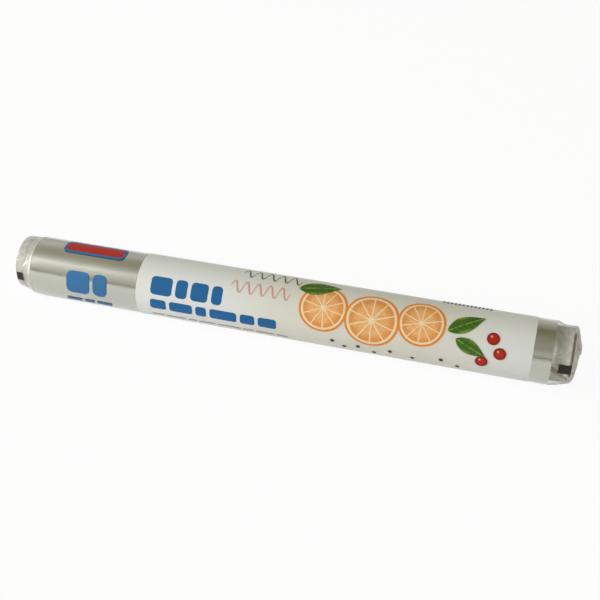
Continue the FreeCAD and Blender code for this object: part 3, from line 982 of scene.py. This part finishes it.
# Each slice is a rind and, a layer above it, its flesh, turned on by spin from the slice before
def makeSlices():
    left, rinds, flesh = slicesLeft(), [], []
    for index, (radius, angleDeg) in enumerate(zip(fruit["radii"], fruit["angles"])):
        inner = radius - fruit["rind"]
        rinds.append(patch(disc(radius, 96), left + radius, angleDeg, 1, 18))
        points, faces, uv = patch(disc(inner, 96), left + radius, angleDeg, 2, 18, inner)
        flesh.append((points, faces, turned(uv, fruit["spin"] * index)))
        left += radius + inner
    rindInk = inkMaterial("rindPrint", fruit["rindTint"], 0.18)
    makePiece("citrusRinds", rinds, "print_orange", rindInk)
    makePiece("citrusFlesh", flesh, "print_amber", fleshMaterial())


# The green line takes the colour of one place on a leaf, the pink line has its own ink
def makeLeavesAndLines():
    points, faces, uv = penLine(greenLine["gap"], greenLine["angle"], 1)
    green = [(points, faces, 0 * uv + greenLine["leafPlace"])]
    for share, angleDeg, length, width, tilt in leaves["places"]:
        points, faces, uv = patch(leaf(length, width, tilt), panelX(share), angleDeg, 3, 12)
        green.append((points, faces, turned(uv, -tilt) / [length / 2, width / 2]))
    makePiece("greenLeaves", green, "print_green", leafMaterial())
    pink = [penLine(pinkLine["gap"], pinkLine["angle"], 2)]
    pinkInk = inkMaterial("pinkPrint", pinkLine["tint"])
    makePiece("pinkLine", pink, "print_pink", pinkInk)


# The badge's red field is plain, so it takes the colour of a berry's middle
def makeRedAndBrown():
    badge = blue["badge"]
    rim = badge["rim"]
    field = roundedBar(badge["width"] - 2 * rim, badge["height"] - 2 * rim, badge["corner"] - rim)
    points, faces, uv = patch(field, bareX(badge["share"]), badge["angle"], 1, 12)
    red = [(points, faces, 0 * uv)]
    for share, angleDeg in berries["places"]:
        berry = disc(berries["radius"], 64)
        red.append(patch(berry, panelX(share), angleDeg, 4, 10, berries["radius"]))
    makePiece("redShapes", red, "print_red", berryMaterial())
    corn = disc(pepper["radius"], 24)
    corns = [patch(corn, panelX(share), angleDeg, 2, 5) for share, angleDeg in pepper["places"]]
    brown = inkMaterial("pepperPrint", pepper["tint"], 0.5)
    makePiece("peppercorns", corns, "print_brown", brown)


makeSlices()
makeLeavesAndLines()
makeRedAndBrown()

# Each mark starts at from and ends pastRim, in mm from the foil's edge and from the rim
marks = {
    "height": 5.1,
    "aroundSteps": 25,
    "lift": 0.05,
    "tint": (0.019, 0.022, 0.016),
    "ends": {
        1: {"from": 3.2, "pastRim": 0.2, "angle": 7.7},
        -1: {"from": 4.9, "pastRim": 0.0, "angle": 4.0},
    },
}


# A mark is the film's own grid between two places along it, lifted off the film by its slope
def makeMarks():
    parts = []
    spread = marks["height"] / 2 / coreRadius
    for end, place in marks["ends"].items():
        across = np.linspace(-spread, spread, marks["aroundSteps"])
        angle = math.radians(place["angle"]) + across
        x, radius = filmHalfGrid(end, angle)[:2]
        midX, midRadius = x[:, len(angle) // 2], radius[:, len(angle) // 2]
        reach = np.concatenate([[0], np.cumsum(np.hypot(np.diff(midX), np.diff(midRadius)))])
        rim = reach[np.searchsorted(midX, rims[end])]
        first = np.searchsorted(reach, rim - (rims[end] - foilEnd) + place["from"])
        last = np.searchsorted(reach, rim + place["pastRim"])
        x, radius = x[first:last], radius[first:last]
        alongX, alongRadius = np.gradient(x, axis=0), np.gradient(radius, axis=0)
        length = np.hypot(alongX, alongRadius)
        layers = []
        for lift in (marks["lift"], marks["lift"] / 3):
            layers.append((x - lift * alongRadius / length, radius + lift * alongX / length))
        bothX = np.concatenate([layers[0][0], layers[1][0][:, ::-1]], axis=1)
        bothRadius = np.concatenate([layers[0][1], layers[1][1][:, ::-1]], axis=1)
        bothAngle = np.concatenate([angle, angle[::-1]])
        rows, columns = x.shape
        points = onRoll(end * bothX, bothAngle, bothRadius)
        faces = closedSheet(rows, columns)
        if end < 0:
            faces = [block[:, ::-1] for block in faces]
        parts.append((points, faces, None))
    dark = inkMaterial("markPrint", marks["tint"], 0.3, roughness=0.55, gloss=0.0)
    makePiece("cuttingMarks", parts, "cutting_marks", dark)


makeMarks()
print("print laid on")


# The world's light: angle from the front horizon over the top to the back, level, share of blue.
# One row of stops is for light from the left, one for light from straight ahead and the right
studio = {
    "floorSize": 12.0,
    "floorTint": 0.86,
    "floorGlow": 0.93,
    "floorMirrored": 0.50,
    "skySeen": 0.955,
    "worldStrength": 1.055,
    "leftStops": [
        (0, 0.97, 0.96), (9, 0.94, 0.95), (11, 0.22, 0.90), (16, 0.40, 0.90), (22, 0.54, 0.90),
        (34, 0.77, 0.92), (46, 1.06, 0.94), (58, 1.36, 0.97), (70, 0.80, 0.92), (82, 0.53, 0.86),
        (94, 0.44, 0.80), (106, 0.43, 0.79), (118, 0.48, 0.82), (130, 0.58, 0.90), (142, 0.66, 0.95),
        (154, 0.60, 0.96), (166, 0.50, 0.97), (180, 0.47, 1.00),
    ],
    "rightStops": [
        (0, 0.68, 0.97), (8, 0.67, 0.96), (10, 0.04, 0.86), (13, 0.20, 0.86), (16, 0.55, 0.88),
        (22, 0.56, 0.88), (34, 0.45, 0.86), (46, 0.33, 0.82), (58, 0.37, 0.80), (70, 0.32, 0.76),
        (82, 0.30, 0.72), (94, 0.25, 0.67), (106, 0.21, 0.65), (116, 0.18, 0.67), (130, 0.33, 0.80),
        (142, 0.38, 0.88), (154, 0.53, 0.92), (166, 0.54, 0.95), (180, 0.60, 0.97),
    ],
    "turnFrom": 0.04,
    "turnOver": 0.50,
    "turnPower": 3.0,
}


# Levels over the half turn, warmer where the share of blue is under 1
def worldRamp(tree, height, stops):
    ramp = addNode(tree, "ValToRGB", {0: height})
    points = ramp.color_ramp.elements
    for degrees, level, blueShare in stops:
        last = degrees >= 180
        place = points[-1] if last else points.new(max(degrees, 0.01) / 180)
        warm = 1 + 0.3 * (1 - blueShare)
        place.color = colour(level * warm, level, level * blueShare)
    points.remove(points[0])
    return ramp.outputs[0]


# The two rows are mixed by (turnFrom less x) over turnOver, to the power turnPower. The camera
# sees plain skySeen in their place
def makeWorld():
    world = bpy.data.worlds.new("studioLight")
    bpy.context.scene.world = world
    world.use_nodes = True
    tree = world.node_tree
    place = addNode(tree, "TexCoord", {}).outputs["Generated"]
    split = addNode(tree, "SeparateXYZ", {0: place}).outputs
    front = times(tree, split[1], -1.0)
    height = calc(tree, "DIVIDE", calc(tree, "ARCTAN2", split[2], front), math.pi)
    left = worldRamp(tree, height, studio["leftStops"])
    right = worldRamp(tree, height, studio["rightStops"])
    turn = calc(tree, "SUBTRACT", studio["turnFrom"], split[0])
    turn = calc(tree, "DIVIDE", turn, studio["turnOver"])
    turn = addNode(tree, "Clamp", {0: turn}).outputs[0]
    turn = calc(tree, "POWER", turn, studio["turnPower"])
    light = blend(tree, turn, right, left)
    light = blend(tree, 1.0, light, colour(*[studio["worldStrength"]] * 3), "MULTIPLY")
    seen = addNode(tree, "LightPath", {}).outputs["Is Camera Ray"]
    sky = blend(tree, seen, light, colour(*[studio["skySeen"]] * 3))
    tree.links.new(sky, tree.nodes["Background"].inputs[0])


# A pale floor. Camera and mirror rays see it mixed with plain white, so its shadow stays soft
def makeFloor():
    half, level = studio["floorSize"] / 2, -0.02 * mm
    corners = [(-half, -half, level), (half, -half, level), (half, half, level), (-half, half, level)]
    mesh = bpy.data.meshes.new("floor")
    mesh.from_pydata(corners, [], [(0, 1, 2, 3)])
    floor = bpy.data.objects.new("floor", mesh)
    bpy.context.collection.objects.link(floor)
    material, tree, shader = newMaterial("paleFloor")
    path = addNode(tree, "LightPath", {}).outputs
    seen = calc(tree, "MAXIMUM", path["Is Camera Ray"], path["Is Transmission Ray"])
    mirrored = times(tree, path["Is Glossy Ray"], studio["floorMirrored"])
    tint = colour(*[studio["floorTint"]] * 3)
    fill(tree, shader, {"Base Color": tint, "Roughness": 0.9, "Specular IOR Level": 0.0})
    white = addNode(tree, "Emission", {"Strength": 1.0})
    share = calc(tree, "MAXIMUM", times(tree, seen, studio["floorGlow"]), mirrored)
    toSurface(tree, mixShaders(tree, share, shader, white))
    mesh.materials.append(material)


# Each lamp: place in metres, width, height and power. All point at the roll
lamps = {
    "keyLamp": ((-1.05, -0.30, 0.55), 0.14, 0.50, 3.0),
    "leftLamp": ((-1.20, -0.45, 0.25), 0.14, 0.30, 1.6),
    "glintLamp": ((-1.00, -0.52, 0.42), 0.20, 0.32, 7.0),
    "rightLamp": ((1.10, -0.75, 0.55), 0.20, 0.50, 1.5),
}
camera = {
    "lens": 60.13,
    "place": (125.18, -408.86, 337.87),
    "facing": (-0.21944, 0.77289, -0.59538),
}


def makeLamp(name, place, width, height, power):
    light = bpy.data.lights.new(name, "AREA")
    light.shape, light.size, light.size_y, light.energy = "RECTANGLE", width, height, power
    lamp = bpy.data.objects.new(name, light)
    lamp.location = place
    lamp.rotation_mode = "QUATERNION"
    lamp.rotation_quaternion = (-Vector(place)).to_track_quat("-Z", "Y")
    bpy.context.collection.objects.link(lamp)


def makeCamera():
    data = bpy.data.cameras.new("camera")
    data.lens, data.sensor_width = camera["lens"], 36.0
    eye = bpy.data.objects.new("camera", data)
    eye.location = Vector(camera["place"]) * mm
    eye.rotation_mode = "QUATERNION"
    eye.rotation_quaternion = Vector(camera["facing"]).to_track_quat("-Z", "Y")
    bpy.context.collection.objects.link(eye)
    bpy.context.scene.camera = eye


makeWorld()
makeFloor()
for name, settings in lamps.items():
    makeLamp(name, *settings)
makeCamera()
bpy.context.scene.view_settings.view_transform = "Standard"
print("studio lit")
